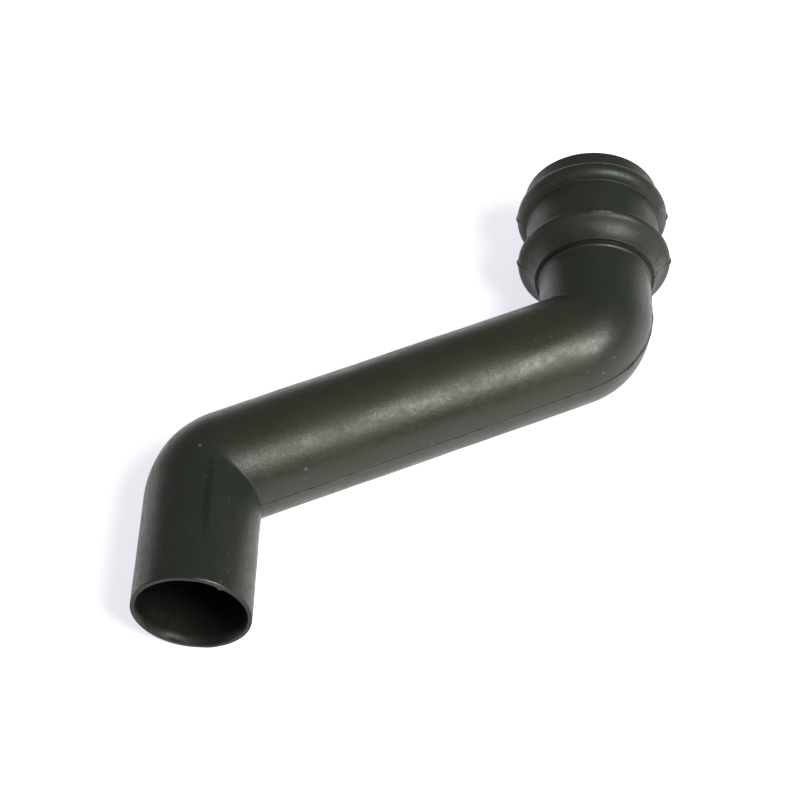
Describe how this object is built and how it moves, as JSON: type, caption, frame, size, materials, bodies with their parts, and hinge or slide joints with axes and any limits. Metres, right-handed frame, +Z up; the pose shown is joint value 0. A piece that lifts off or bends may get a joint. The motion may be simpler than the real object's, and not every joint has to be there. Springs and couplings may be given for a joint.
{
  "type": "downpipe offset",
  "caption": "Round rainwater downpipe offset in blow-moulded plastic, with a plain spigot, a slanted leg between tight bends, and a beaded collar socket.",
  "frame": {"origin": "centre of the socket's mouth", "axes": "+Y out of the socket along its axis, -Y out of the spigot, whose axis is parallel to the socket's, +Z up with the piece lying at rest on its collar and spigot"},
  "size_m": [0.3117, 0.3187, 0.0948],
  "materials": {
    "pipe_plastic": "dark green-black, as moulded, satin to matt, with a faint mottle and light scuffs"
  },
  "bodies": {
    "root": {"downpipe_offset": "pipe_plastic"}
  },
  "joints": []
}
